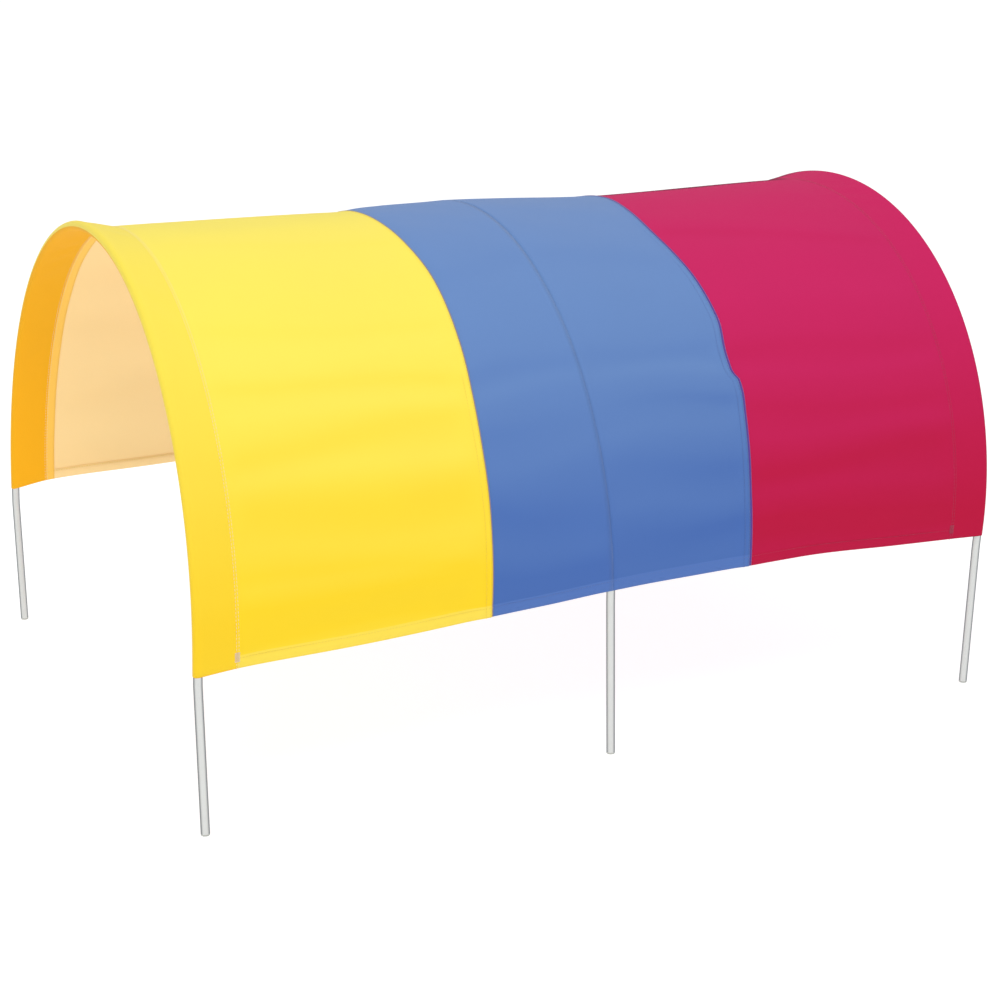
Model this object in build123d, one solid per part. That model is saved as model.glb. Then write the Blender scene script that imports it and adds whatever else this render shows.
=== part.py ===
from build123d import *
from math import cos, degrees, radians, sin
import os

# Agility tunnel: one open-bottomed arch of sewn cloth in three colour panels, carried on
# three bent tube hoops whose ends stand out below the cloth as legs that push into the ground.
# X runs along the tunnel from the yellow end to the magenta end, Y across it, and Z is up.
# The origin is on the ground, at the middle of the tunnel's length and width.
# The hoops don't stand quite square: each leans on its own legs, and a little more above the bend
# that it has taken just under the hem.

# ---- driving dimensions, in mm and degrees ----
tunnel_length = 914.0  # cloth at the legs, from one end fold to the other
hoop_radius = 350.0  # centre line of the bent tube
spring_height = 184.0  # where a straight leg ends and the half circle starts
tube_diameter = 9.0
tube_bore = 7.0
middle_foot_x = -8.0  # foot of the middle hoop, from half the cloth's length
leg_lean = {"yellow": -0.3, "middle": -0.8, "magenta": 2.4}  # below the bend, top towards +X
hoop_lean = {"yellow": 2.3, "middle": 0.3, "magenta": 4.7}  # above the bend
bend_height = {"yellow": 150.0, "middle": 165.0, "magenta": 160.0}  # where the bend starts
bend_radius = 60.0
hoop_drop = {"yellow": 0.0, "middle": 6.0, "magenta": 0.0}  # shorter legs, so a lower crown
hem_height = {"yellow": 165.0, "middle": 184.0, "magenta": 179.0}  # cloth's bottom edge

crown_arc = 100.0  # degrees of the half circle that the crown tube takes
pin_length = 60.0  # joint pin, half of it in each tube
fit_gap = 0.05  # radial clearance of pins and plugs in the bore
plug_face = 2.0  # part of a foot plug below the tube
plug_spigot = 14.0
plug_round = 0.8

cloth_thickness = 0.8
cloth_gap = 0.3  # air between a tube and the cloth round it
sleeve_width = 44.0  # end fold to stitch line
sleeve_seam = 6.0  # where a sleeve's two layers lie together
pocket_width = 32.0  # strip sewn under the middle panel
pocket_seam = 7.0  # each sewn edge of that strip
pocket_gap = 0.4  # between that strip's sewn edges and the panel
panel_gap = 1.6  # between neighbouring panels
seam_x = {"yellow": -142.0, "magenta": 163.0}  # at the springing, from half the cloth's length

# ---- worked out from them ----
tube_radius = tube_diameter / 2
wrap_inside = tube_radius + cloth_gap  # cloth round a tube, from the tube's centre
wrap_outside = wrap_inside + cloth_thickness
end_foot_x = tunnel_length / 2 - wrap_outside
foot_x = {"yellow": -end_foot_x, "middle": middle_foot_x, "magenta": end_foot_x}
inwards = {"yellow": 1, "magenta": -1}  # from an end fold into the tunnel, along X
bend_angle = {name: hoop_lean[name] - leg_lean[name] for name in foot_x}
joint_angle = 90 - crown_arc / 2  # of a tube joint, above the springing
stitch_reach = sleeve_width - wrap_outside  # tube centre to stitch line

springing = Plane(origin=(0, hoop_radius, spring_height))  # a section here has X along, Y outwards
bend_axis = Axis((0, 0, spring_height), (1, 0, 0))


def along_arc(section, start, end):
    """Carries a springing section round the half circle between two angles."""
    return revolve(section.rotate(bend_axis, start), bend_axis, end - start)


def down_leg(section, low):
    """Carries a springing section straight down the +Y leg."""
    return extrude(section, amount=spring_height - low, dir=(0, 0, -1))


def over_arch(section, low):
    """Carries a springing section up one leg, over the crown and down the other leg."""
    leg = down_leg(section, low)
    return along_arc(section, 0, 180) + leg + mirror(leg, about=Plane.XZ)


def leg_place(name):
    """Stands a shape, made on its hoop's own foot line, where that hoop's legs stand."""
    lean = radians(leg_lean[name])
    lift = (tube_radius - plug_round) * sin(abs(lean)) + plug_round * (1 - cos(lean))
    return Pos(foot_x[name], 0, lift) * Rot(0, leg_lean[name], 0)


def bend_end(name):
    """Where a leg's bend ends, on a hoop whose legs have their full length."""
    return bend_height[name] + bend_radius * radians(bend_angle[name]) + hoop_drop[name]


def hoop_place(name):
    """The same for a shape above the bend, made as if the hoop's legs had their full length."""
    turn = Pos(bend_radius, 0, bend_height[name]) * Rot(0, bend_angle[name], 0)
    return leg_place(name) * turn * Pos(-bend_radius, 0, -bend_end(name))


# ---- hoops ----
def tube_section():
    return springing * (Circle(tube_radius) - Circle(tube_bore / 2))


def crown_tube():
    return along_arc(tube_section(), joint_angle, 180 - joint_angle)


def leg_tube(name):
    """The +Y leg tube in place: up from its plug, round the slight bend and into the half circle."""
    low = bend_height[name]
    centre = Axis((bend_radius, 0, low), (0, 1, 0))
    at_bend = Pos(0, 0, low - spring_height) * tube_section()
    straight = extrude(at_bend, amount=low - plug_face, dir=(0, 0, -1))
    upper = along_arc(tube_section(), 0, joint_angle) + down_leg(tube_section(), bend_end(name))
    lower = straight + revolve(at_bend, centre, bend_angle[name])
    return hoop_place(name) * upper + leg_place(name) * lower


def joint_pin():
    half_turn = degrees(pin_length / 2 / hoop_radius)
    section = springing * Circle(tube_bore / 2 - fit_gap)
    return along_arc(section, joint_angle - half_turn, joint_angle + half_turn)


def foot_plug():
    upwards = (Align.CENTER, Align.CENTER, Align.MIN)
    face = Cylinder(tube_radius, plug_face, align=upwards)
    face = fillet(face.edges().group_by(Axis.Z)[0], plug_round)
    spigot = Pos(0, 0, plug_face) * Cylinder(tube_bore / 2 - fit_gap, plug_spigot, align=upwards)
    return Pos(0, hoop_radius, 0) * (face + spigot)


def hoop_parts(name):
    """One hoop: a crown tube, and a leg tube, joint pin and foot plug on each side."""
    far = {
        "leg_tube": leg_tube(name),
        "joint_pin": hoop_place(name) * joint_pin(),
        "foot_plug": leg_place(name) * foot_plug(),
    }
    parts = {f"{name}_crown_tube": hoop_place(name) * crown_tube()}
    for piece, shape in far.items():
        parts[f"{name}_{piece}_far"] = shape
        parts[f"{name}_{piece}_near"] = mirror(shape, about=Plane.XZ)
    return parts


# ---- cloth ----
def outline(arc, corners):
    """Closed face: an arc through three points, then straight lines through the corners back."""
    return make_face(ThreePointArc(*arc) + Polyline(arc[2], *corners, arc[0]))


def sleeve_section(direction):
    """A cloth end turned back round the tube and sewn down flat; direction is the way inwards."""
    def round_tube(r, corners):
        arc = ((0, r), (-r * direction, 0), (0, -r))
        return outline(arc, [(x * direction, y) for x, y in corners])

    seam_start = stitch_reach - sleeve_seam
    under = wrap_inside - cloth_thickness
    flat_edge = [(seam_start, under), (stitch_reach, under), (stitch_reach, wrap_outside)]
    cloth = round_tube(wrap_outside, flat_edge)
    return springing * (cloth - round_tube(wrap_inside, [(seam_start, wrap_inside)]))


def pocket_section():
    """The strip under the middle panel: sewn flat on each side, and hanging under the tube."""
    def under_tube(r, corners):
        return outline(((-r, 0), (0, -r), (r, 0)), corners)

    top = wrap_inside - pocket_gap
    under = top - cloth_thickness
    edge = pocket_width / 2
    bend = edge - pocket_seam
    lower = [(bend, under), (edge, under), (edge, top), (-edge, top), (-edge, under), (-bend, under)]
    cloth = under_tube(wrap_outside, lower)
    return springing * (cloth - under_tube(wrap_inside, [(bend, top), (-bend, top)]))


def below_hem():
    """Everything under the hem line, which rises and falls from hoop to hoop."""
    line = [(foot_x[name], hem_height[name]) for name in foot_x]
    far = tunnel_length
    corners = [(-far, 0), (-far, line[0][1]), *line, (far, line[-1][1]), (far, 0), (-far, 0)]
    return extrude(Plane.XZ * make_face(Polyline(*corners)), amount=far, both=True)


def hooped_cloth(name, section):
    """Cloth that wraps one hoop's tube from hem to hem."""
    return hoop_place(name) * over_arch(section, bend_end(name)) - below_hem()


def sleeve_plane(name):
    """Where a panel ends against the sleeve of its end hoop; the plane faces the magenta end."""
    x = inwards[name] * (stitch_reach + panel_gap)
    return Plane(hoop_place(name) * Pos(x, 0, 0) * Rot(0, 90, 0))


def seam_plane(end, side):
    """One side of the seam next to an end panel, leaning as the cloth does between its hoops."""
    share = (seam_x[end] - foot_x["middle"]) / (foot_x[end] - foot_x["middle"])
    lean = hoop_lean["middle"] + share * (hoop_lean[end] - hoop_lean["middle"])
    x = seam_x[end] + side * panel_gap / 2
    return Plane(Pos(x, 0, spring_height) * Rot(0, lean + 90, 0))


def panel(first, last):
    """One colour of the cover between two cutting planes, with its bottom edge on the hem line."""
    middle_of_cloth = (wrap_inside + wrap_outside) / 2
    section = springing * Pos(0, middle_of_cloth) * Rectangle(2 * tunnel_length, cloth_thickness)
    cloth = over_arch(section, min(bend_height.values()))
    cloth = split(cloth, bisect_by=first, keep=Keep.TOP)
    return split(cloth, bisect_by=last, keep=Keep.BOTTOM) - below_hem()


def cover_parts():
    """The three panels, a pole sleeve at each end and the pole pocket of the middle hoop."""
    return {
        "yellow_panel": panel(sleeve_plane("yellow"), seam_plane("yellow", -1)),
        "blue_panel": panel(seam_plane("yellow", 1), seam_plane("magenta", -1)),
        "magenta_panel": panel(seam_plane("magenta", 1), sleeve_plane("magenta")),
        "yellow_pole_sleeve": hooped_cloth("yellow", sleeve_section(inwards["yellow"])),
        "magenta_pole_sleeve": hooped_cloth("magenta", sleeve_section(inwards["magenta"])),
        "blue_pole_pocket": hooped_cloth("middle", pocket_section()),
    }


parts = cover_parts()
for hoop in foot_x:
    parts |= hoop_parts(hoop)
boxes = [shape.bounding_box() for shape in parts.values()]
centre_x = (min(box.min.X for box in boxes) + max(box.max.X for box in boxes)) / 2

os.makedirs("parts", exist_ok=True)
for node, shape in parts.items():
    export_step(Pos(-centre_x, 0, 0) * shape, f"parts/{node}.step")
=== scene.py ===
import math
import bpy
import numpy as np
from mathutils import Matrix, Vector


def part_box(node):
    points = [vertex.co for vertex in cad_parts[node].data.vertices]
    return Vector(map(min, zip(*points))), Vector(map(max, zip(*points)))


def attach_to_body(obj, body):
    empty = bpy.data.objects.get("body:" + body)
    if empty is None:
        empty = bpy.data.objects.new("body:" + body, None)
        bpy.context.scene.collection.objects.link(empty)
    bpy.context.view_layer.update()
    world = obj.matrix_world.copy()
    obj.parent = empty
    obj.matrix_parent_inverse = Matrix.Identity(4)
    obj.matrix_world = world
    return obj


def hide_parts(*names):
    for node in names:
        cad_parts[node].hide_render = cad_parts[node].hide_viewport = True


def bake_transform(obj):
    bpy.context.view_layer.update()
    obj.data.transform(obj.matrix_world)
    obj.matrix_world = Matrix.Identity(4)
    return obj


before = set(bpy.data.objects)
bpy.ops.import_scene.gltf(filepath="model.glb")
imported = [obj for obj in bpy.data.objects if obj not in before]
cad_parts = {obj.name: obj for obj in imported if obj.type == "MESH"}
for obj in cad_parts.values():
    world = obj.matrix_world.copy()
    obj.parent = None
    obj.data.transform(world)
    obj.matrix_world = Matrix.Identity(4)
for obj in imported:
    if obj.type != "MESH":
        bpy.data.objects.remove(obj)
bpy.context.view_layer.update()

scene = bpy.context.scene
print("frame loaded")


view = {
    "heading": -26.27,  # degrees, seen from the yellow end's near side
    "height": 16.03,
    "roll": -0.18,
    "target": (0.0180, 0.0, 0.1801),
    "distance": 2.4525,
    "lens": 75.03,
}


def addCamera(s):
    a, e, r = (math.radians(s[k]) for k in ("heading", "height", "roll"))
    back = Vector((math.sin(a) * math.cos(e), -math.cos(a) * math.cos(e), math.sin(e)))
    right = Vector((0, 0, 1)).cross(back).normalized()
    up = back.cross(right)
    right, up = right * math.cos(r) + up * math.sin(r), up * math.cos(r) - right * math.sin(r)
    data = bpy.data.cameras.new("camera")
    data.lens, data.sensor_width, data.sensor_fit = s["lens"], 36, "HORIZONTAL"
    data.clip_start, data.clip_end = 0.05, 60
    camera = bpy.data.objects.new("camera", data)
    scene.collection.objects.link(camera)
    turn = Matrix((right, up, back)).transposed().to_4x4()
    camera.matrix_world = Matrix.Translation(Vector(s["target"]) + back * s["distance"]) @ turn
    scene.camera = camera


addCamera(view)


def newGroup(name, inputs, outputs):
    tree = bpy.data.node_groups.new(name, "ShaderNodeTree")
    for label, kind, value in inputs:
        socket = tree.interface.new_socket(label, in_out="INPUT", socket_type=kind)
        socket.default_value = value
    for label, kind in outputs:
        tree.interface.new_socket(label, in_out="OUTPUT", socket_type=kind)
    return tree, tree.nodes.new("NodeGroupInput"), tree.nodes.new("NodeGroupOutput")


def addNode(tree, kind, **values):
    node = tree.nodes.new(kind)
    for key, value in values.items():
        setattr(node, key, value)
    return node


def feed(tree, socket, value):
    # a number or a colour goes on the socket itself, and another node's output is linked to it
    if isinstance(value, (int, float)):
        socket.default_value = value
    elif isinstance(value, tuple):
        socket.default_value = (*value, 1)
    else:
        tree.links.new(value, socket)


def wave(tree, coord, axis, scale):
    # threads running one way, as a smooth 0..1 ridge
    node = addNode(tree, "ShaderNodeTexWave", wave_type="BANDS", bands_direction=axis, wave_profile="SIN")
    for label, value in (("Distortion", 0.6), ("Detail", 1.0), ("Vector", coord), ("Scale", scale)):
        feed(tree, node.inputs[label], value)
    return node.outputs["Fac"]


def noise(tree, coord, scale, detail):
    node = addNode(tree, "ShaderNodeTexNoise")
    for label, value in (("Vector", coord), ("Scale", scale), ("Detail", detail)):
        feed(tree, node.inputs[label], value)
    return node.outputs["Fac"]


def maths(tree, kind, a, b):
    node = addNode(tree, "ShaderNodeMath", operation=kind)
    for socket, value in zip(node.inputs, (a, b)):
        feed(tree, socket, value)
    return node.outputs[0]


def mixColour(tree, fac, a, b, kind="MIX"):
    node = addNode(tree, "ShaderNodeMix", data_type="RGBA", blend_type=kind)
    for socket, value in zip((node.inputs[0], node.inputs[6], node.inputs[7]), (fac, a, b)):
        feed(tree, socket, value)
    return node.outputs[2]


def smoothRamp(tree, value, low, high):
    node = addNode(tree, "ShaderNodeMapRange", interpolation_type="SMOOTHSTEP")
    for label, part in (("Value", value), ("From Min", low), ("From Max", high)):
        feed(tree, node.inputs[label], part)
    return node.outputs["Result"]


def turnedAway(tree, low, high):
    # 0 where a surface faces the eye, 1 where it turns away
    facing = addNode(tree, "ShaderNodeLayerWeight")
    facing.inputs["Blend"].default_value = 0.5
    return smoothRamp(tree, facing.outputs["Facing"], low, high)


def addRelief(tree, shader, height, strength):
    relief = addNode(tree, "ShaderNodeBump")
    relief.inputs["Strength"].default_value = strength
    relief.inputs["Distance"].default_value = 0.0002
    tree.links.new(height, relief.inputs["Height"])
    tree.links.new(relief.outputs["Normal"], shader.inputs["Normal"])


def makeWeaveGroup():
    # plain weave: two sets of threads, slubs, and slow mottling of the dye
    tree, ins, outs = newGroup(
        "plainWeave",
        [("Coord", "NodeSocketVector", (0, 0, 0)), ("Threads", "NodeSocketFloat", 400.0),
         ("Mottle", "NodeSocketFloat", 9.0)],
        [("Height", "NodeSocketFloat"), ("Thread", "NodeSocketFloat"), ("Blotch", "NodeSocketFloat")],
    )
    coord, threads = ins.outputs["Coord"], ins.outputs["Threads"]
    warp, weft = wave(tree, coord, "X", threads), wave(tree, coord, "Y", threads)
    checks = maths(tree, "MULTIPLY", warp, weft)
    thread = maths(tree, "ADD", maths(tree, "MULTIPLY", warp, 0.5), maths(tree, "MULTIPLY", weft, 0.5))
    slub = noise(tree, coord, 60, 3)
    blotch = noise(tree, coord, ins.outputs["Mottle"], 4)
    height = maths(tree, "ADD", checks, maths(tree, "MULTIPLY", slub, 0.5))
    for label, value in (("Height", height), ("Thread", thread), ("Blotch", blotch)):
        tree.links.new(value, outs.inputs[label])
    return tree


def makeCrownSheenGroup():
    # 0 near the hem, 1 at the crown: painted sheen, where the colour is painted paler as if lit from above
    tree, ins, outs = newGroup(
        "crownPaintedSheen",
        [("Low", "NodeSocketFloat", 0.17), ("High", "NodeSocketFloat", 0.48)],
        [("Fade", "NodeSocketFloat")],
    )
    place = addNode(tree, "ShaderNodeTexCoord")
    split = addNode(tree, "ShaderNodeSeparateXYZ")
    tree.links.new(place.outputs["Object"], split.inputs[0])
    crownSheen = smoothRamp(tree, split.outputs["Z"], ins.outputs["Low"], ins.outputs["High"])
    tree.links.new(crownSheen, outs.inputs["Fade"])
    return tree


weaveGroup = makeWeaveGroup()
crownSheenGroup = makeCrownSheenGroup()


def linear(rgb):
    return tuple(c / 12.92 if c <= 0.04045 else ((c + 0.055) / 1.055) ** 2.4 for c in (v / 255 for v in rgb))


def newMaterial(name):
    material = bpy.data.materials.new(name)
    material.use_nodes = True
    return material, material.node_tree, material.node_tree.nodes["Principled BSDF"]


def clothMaterial(name, low, crown=None, sheen=0.2, gloss=0.25, foldShade=0.0, glow=0.0, edge=None):
    # dye near the hem, and paler at the crown as painted sheen of the light from above; painted light and shade in the
    # folds, from their slope
    material, tree, shader = newMaterial(name)
    uv = addNode(tree, "ShaderNodeUVMap", uv_map="cloth")
    weave = addNode(tree, "ShaderNodeGroup", node_tree=weaveGroup)
    weave.inputs["Threads"].default_value = yarn["threads"]
    tree.links.new(uv.outputs["UV"], weave.inputs["Coord"])
    # painted sheen: the colour runs to the paler crown colour towards the top
    crownSheen = addNode(tree, "ShaderNodeGroup", node_tree=crownSheenGroup)
    # painted light and shade: the folds are painted lighter or darker by the slope of the cloth
    tone = addNode(tree, "ShaderNodeAttribute", attribute_name="tone")
    paler = maths(tree, "SUBTRACT", crownSheen.outputs["Fade"], maths(tree, "MULTIPLY", tone.outputs["Fac"], foldShade))
    dye = mixColour(tree, paler, linear(low), linear(crown or low))
    mottle = mixColour(tree, yarn["mottle"], (1, 1, 1), weave.outputs["Blotch"])
    threads = mixColour(tree, yarn["contrast"], (1, 1, 1), weave.outputs["Thread"])
    colour = mixColour(tree, 1.0, mixColour(tree, 1.0, dye, mottle, "MULTIPLY"), threads, "MULTIPLY")
    if edge:  # painted shade: the colour darkens where the cloth turns away from the eye
        colour = mixColour(tree, turnedAway(tree, 0.90, 0.99), colour, linear(edge))
    tree.links.new(colour, shader.inputs["Base Color"])
    uneven = maths(tree, "MULTIPLY", weave.outputs["Blotch"], yarn["unevenness"])
    tree.links.new(maths(tree, "ADD", uneven, yarn["roughness"]), shader.inputs["Roughness"])
    addRelief(tree, shader, weave.outputs["Height"], yarn["relief"])
    shader.inputs["Sheen Weight"].default_value = sheen
    shader.inputs["Sheen Roughness"].default_value = 0.4
    shader.inputs["Specular IOR Level"].default_value = gloss
    if glow:  # painted light: the cloth glows a little, standing in for daylight that comes through it
        tree.links.new(colour, shader.inputs["Emission Color"])
        shader.inputs["Emission Strength"].default_value = glow
    return material


def threadMaterial(name, rgb):
    material, tree, shader = newMaterial(name)
    place = addNode(tree, "ShaderNodeTexCoord")
    twist = addNode(tree, "ShaderNodeTexWave", bands_direction="DIAGONAL")
    twist.inputs["Scale"].default_value = 900
    tree.links.new(place.outputs["Object"], twist.inputs["Vector"])
    base = linear(rgb)
    colour = mixColour(tree, twist.outputs["Fac"], tuple(c * 0.72 for c in base), base)
    tree.links.new(colour, shader.inputs["Base Color"])
    shader.inputs["Roughness"].default_value = 0.6
    shader.inputs["Sheen Weight"].default_value = 0.3
    return material


def zincMaterial(name, rgb, edge, rough):
    # bright zinc plate with faint drawing lines along the tube and dull patches; painted shade darkens it where it
    # turns away from the eye
    material, tree, shader = newMaterial(name)
    place = addNode(tree, "ShaderNodeTexCoord")
    stretch = addNode(tree, "ShaderNodeMapping")
    stretch.inputs["Scale"].default_value = (600, 600, 14)
    tree.links.new(place.outputs["Object"], stretch.inputs["Vector"])
    lines = noise(tree, stretch.outputs["Vector"], 1, 3)
    patches = noise(tree, place.outputs["Object"], 55, 5)
    base = linear(rgb)
    colour = mixColour(tree, patches, tuple(c * 0.82 for c in base), base)
    # painted shade on the tube's sides
    colour = mixColour(tree, turnedAway(tree, 0.12, 0.55), colour, linear(edge))
    tree.links.new(colour, shader.inputs["Base Color"])
    dull = maths(tree, "ADD", maths(tree, "MULTIPLY", patches, 0.25), rough - 0.1)
    tree.links.new(dull, shader.inputs["Roughness"])
    shader.inputs["Metallic"].default_value = 0.85
    addRelief(tree, shader, lines, 0.12)
    return material


def plugMaterial(name, rgb):
    # moulded nylon, finely grained and a little scuffed
    material, tree, shader = newMaterial(name)
    place = addNode(tree, "ShaderNodeTexCoord").outputs["Object"]
    base = linear(rgb)
    colour = mixColour(tree, noise(tree, place, 160, 2), tuple(c * 0.75 for c in base), base)
    tree.links.new(colour, shader.inputs["Base Color"])
    shader.inputs["Roughness"].default_value = 0.55
    addRelief(tree, shader, noise(tree, place, 900, 2), 0.2)
    return material


yarn = {
    "threads": 600.0,  # weave scale, on a map in metres
    "contrast": 0.08,  # how far single threads show
    "mottle": 0.05,
    "roughness": 0.69,
    "unevenness": 0.12,  # of the roughness
    "relief": 0.25,
}
# low is the cloth's colour near the hem; crown is paler, a painted sheen of the light from above; the fold strength
# paints light and shade into the folds; edge is painted shade where the cloth turns away
dyes = {
    "yellowCloth": {"low": (255, 217, 33), "crown": (254, 234, 88), "foldShade": 0.17},
    "yellowDouble": {"low": (254, 212, 33), "crown": (252, 229, 80), "foldShade": 0.17},
    # hem colours: lighter copies of their cloth, painted light on the hem band
    "yellowHem": {"low": (255, 226, 80)},
    # inside colours: darker copies of the cloth's face where it is seen inside the tunnel, painted shade; glow paints
    # light coming through the thin cloth, here and on the tab and back sides
    "yellowInside": {"low": (238, 172, 14), "crown": (232, 168, 14), "sheen": 0.02, "glow": 0.16},
    "amberEdge": {"low": (242, 192, 84), "crown": (240, 192, 86), "sheen": 0.05, "glow": 0.2},
    "peachBack": {"low": (238, 208, 148), "crown": (238, 206, 146), "sheen": 0.05, "glow": 0.23},
    "blueCloth": {"low": (70, 108, 180), "crown": (102, 138, 195), "foldShade": 0.20},
    "blueHem": {"low": (82, 118, 188)},
    "blueInside": {"low": (62, 98, 170), "sheen": 0.1},
    "blueBack": {"low": (170, 188, 220), "crown": (172, 190, 222), "sheen": 0.05, "glow": 0.2},
    "magentaCloth": {"low": (190, 24, 66), "crown": (204, 37, 99), "sheen": 0.03, "gloss": 0.08,
                     "foldShade": 0.18, "edge": (80, 8, 40)},
    "magentaDouble": {"low": (190, 23, 64), "crown": (204, 36, 97), "sheen": 0.03, "gloss": 0.08,
                      "foldShade": 0.18, "edge": (80, 8, 40)},
    "magentaHem": {"low": (190, 26, 68), "sheen": 0.03, "gloss": 0.08},
    "magentaInside": {"low": (160, 18, 56), "sheen": 0.03, "gloss": 0.08},
    "roseBack": {"low": (218, 150, 170), "crown": (218, 154, 174), "sheen": 0.05, "glow": 0.2},
}
threadColours = {
    "paleThread": (252, 228, 190),
    "yellowThread": (248, 214, 70),
    "blueThread": (84, 112, 176),
    "magentaThread": (182, 28, 76),
    "violetThread": (84, 44, 150),
    "greyThread": (150, 128, 140),
}
cloths = {name: clothMaterial(name, **look) for name, look in dyes.items()}
threads = {name: threadMaterial(name, rgb) for name, rgb in threadColours.items()}
zinc = zincMaterial("zinc", (222, 224, 222), (118, 122, 126), 0.36)
pinSteel = zincMaterial("pinSteel", (182, 185, 188), (110, 112, 116), 0.45)
plugNylon = plugMaterial("plugNylon", (196, 198, 192))
print("materials made")


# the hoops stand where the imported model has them
tube = {
    "hoopRadius": 0.350,  # centre line
    "springing": 0.184,
    "radius": 0.0045,
    "jointAngle": 40.0,
    "pinHalfTurn": 4.911,
    "pinRadius": 0.00345,
}
hoops = ("yellow", "middle", "magenta")


def findHoop(name):
    # where a hoop stands above its bend: a point of its plane and its lean
    low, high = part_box(name + "_joint_pin_near")
    crownLow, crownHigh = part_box(name + "_crown_tube")
    r, s, big = tube["radius"], tube["springing"], tube["hoopRadius"]
    rise = big * (1 - math.sin(math.radians(tube["jointAngle"])))
    lean = math.asin((crownHigh[0] - crownLow[0] - 2 * r) / rise)
    a0 = math.radians(tube["jointAngle"] - tube["pinHalfTurn"])
    a1 = math.radians(tube["jointAngle"] + tube["pinHalfTurn"])
    p = tube["pinRadius"]
    pinHeight = s + ((big - p) * math.sin(a0) + (big + p) * math.sin(a1)) / 2
    return {"x": (low[0] + high[0]) / 2, "z": (low[2] + high[2]) / 2, "pin": pinHeight, "lean": lean}


standing = {name: findHoop(name) for name in hoops}


def onHoop(name, d, y, z):
    # d along the tunnel from the hoop's plane; y and z as on an upright hoop with full legs
    h = standing[name]
    c, s = math.cos(h["lean"]), math.sin(h["lean"])
    up = z - h["pin"]
    return np.stack([h["x"] + d * c + up * s, y, h["z"] + up * c - d * s], -1)


print("hoops:", {n: (round(h["x"], 4), round(math.degrees(h["lean"]), 2)) for n, h in standing.items()})


cover = {
    "thickness": 0.0004,
    "rowStep": 0.006,  # mesh size round the arch
    "columnStep": 0.006,  # and along the tunnel
    "overTube": 0.0050,  # middle of the cloth from a tube's centre
    "stitchReach": 0.0384,  # from a tube's centre to its sleeve's stitch line
    "tab": 0.0100,  # cloth past the stitch line, inside
    "underlap": 0.0009,  # between two layers that are sewn together
    "underEdge": (0.008, 0.004),  # how far a panel runs on under the lap of its neighbour
    "ease": 0.012,  # stretch over which a lapped edge rises or drops
    "lap": 0.0035,  # a panel's edge past its seam's stitches
    "hemFold": 0.011,
    "bandStrength": 0.85,
    "unevenness": 0.00022,  # height of the small waves between the folds
    "sag": 0.0012,  # sides of a panel drawn in half-way between its lines
    # bottom edge: place along the tunnel, height on the near side, height on the far side
    "hem": [(-0.477, 0.1620, 0.1695), (-0.430, 0.1640, 0.1750), (-0.300, 0.1668, 0.1778), (-0.165, 0.1740, 0.1800),
            (-0.100, 0.1768, 0.1815), (-0.027, 0.1815, 0.1835), (0.070, 0.1828, 0.1845), (0.200, 0.1838, 0.1845),
            (0.330, 0.1782, 0.1825), (0.400, 0.1756, 0.1806), (0.470, 0.1744, 0.1800)],
    # edges of the lapped seams: angle up from the near springing, place along the tunnel
    "yellowSeam": [(0, -0.166), (14, -0.1605), (31, -0.155), (45, -0.148), (60, -0.144), (72, -0.147), (90, -0.150),
                   (110, -0.147), (150, -0.153), (180, -0.162)],
    "magentaSeam": [(0, 0.136), (12, 0.141), (20, 0.1465), (26, 0.151), (30.6, 0.1545), (32.2, 0.1545), (34.2, 0.1485),
                    (38, 0.149), (45, 0.156), (55, 0.154), (62, 0.149), (70, 0.145), (80, 0.149), (92, 0.157),
                    (110, 0.158), (150, 0.149), (180, 0.138)],
    # radius at the crown by share of a panel's length
    "yellowRidge": [(0, 0.3478), (0.06, 0.3474), (0.5, 0.3455), (1, 0.3436)],
    "blueLeftRidge": [(0, 0.3436), (0.12, 0.3462), (0.35, 0.3474), (1, 0.3485)],
    "blueRightRidge": [(0, 0.3485), (0.2, 0.3478), (0.6, 0.3446), (1, 0.3416)],
    "magentaRidge": [(0, 0.3416), (0.5, 0.3436), (0.86, 0.3444), (1, 0.3440)],
    "seamSide": 0.3536,  # radius of a seam at the springing
    "stitchSide": 0.3512,  # and of a sleeve's stitch line
}
rng = np.random.default_rng(7)
big, springing = tube["hoopRadius"], tube["springing"]
archLength = math.pi * big


def smoothTable(points, column=1):
    # a smooth curve through a few points, as a function
    xs = np.array([p[0] for p in points], float)
    ys = np.array([p[column] for p in points], float)
    steps = np.diff(ys) / np.diff(xs)
    slopes = np.concatenate([[steps[0]], (steps[1:] + steps[:-1]) / 2, [steps[-1]]])
    turns = np.concatenate([[False], steps[1:] * steps[:-1] <= 0, [False]])
    slopes[turns] = 0

    def curve(x):
        x = np.clip(np.asarray(x, float), xs[0], xs[-1])
        i = np.clip(np.searchsorted(xs, x) - 1, 0, len(xs) - 2)
        step = xs[i + 1] - xs[i]
        t = (x - xs[i]) / step
        a, b = ys[i], ys[i + 1]
        ma, mb = slopes[i] * step, slopes[i + 1] * step
        bend = ma * (t**3 - 2 * t**2 + t) + mb * (t**3 - t**2)
        return a * (2 * t**3 - 3 * t**2 + 1) + b * (3 * t**2 - 2 * t**3) + bend

    return curve


hemNear, hemFar = smoothTable(cover["hem"], 1), smoothTable(cover["hem"], 2)
rowCount = round((archLength + 0.03) / cover["rowStep"])
rowShare = np.linspace(0, 1, rowCount + 1)


def rowPlaces(x, shift=(0.0, 0.0)):
    # distance round the arch of each row, from the near springing; x is where that row's cloth is
    start = hemNear(x) - springing + shift[0]
    end = archLength + springing - hemFar(x) - shift[1]
    return start + (end - start) * rowShare


def aroundArch(q, radius):
    # y and z of a place round the arch, and its angle
    angle = np.clip(q / big, 0, math.pi)
    below = np.minimum(q, 0) + np.minimum(archLength - q, 0)
    return -radius * np.cos(angle), springing + radius * np.sin(angle) + below, angle


def crownBlend(side, crown, angle):
    return side + (crown - side) * np.sin(angle)


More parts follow.
